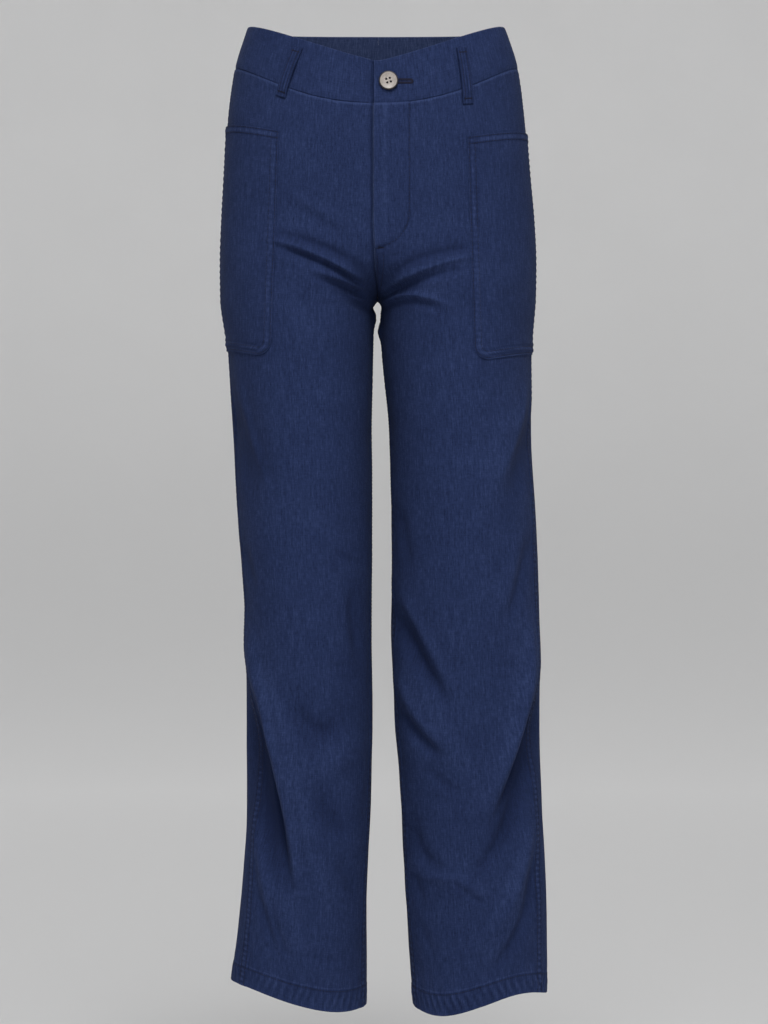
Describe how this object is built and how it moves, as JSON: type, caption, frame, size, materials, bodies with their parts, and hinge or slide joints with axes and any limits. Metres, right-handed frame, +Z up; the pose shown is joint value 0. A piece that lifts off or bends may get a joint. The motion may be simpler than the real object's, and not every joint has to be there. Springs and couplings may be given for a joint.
{
  "type": "jeans",
  "caption": "Straight-leg jeans, filled out as worn and open at waist and hems, with a contoured waistband, buttoned fly and patch pockets.",
  "frame": {"origin": "middle of the waist, inside the waistband, where the wearer holds the jeans up", "axes": "+Z up along the legs towards the waist, the front faces -Y, +X is the wearer's left"},
  "size_m": [0.3529, 0.2303, 1.0662],
  "materials": {
    "denim": "matte light indigo denim with a slub weave",
    "thread": "dark navy sewing thread",
    "button": "satin grey-beige resin with a faint grain"
  },
  "bodies": {
    "root": {"front_left": "denim", "front_right": "denim", "back_left": "denim", "back_right": "denim", "fly_shield": "denim", "waistband_left": "denim", "waistband_right": "denim", "pocket_left": "denim", "pocket_right": "denim", "loop_front_left": "denim", "loop_front_right": "denim", "loop_back_left": "denim", "loop_back_right": "denim", "loop_back_centre": "denim", "button": "button"}
  },
  "joints": []
}
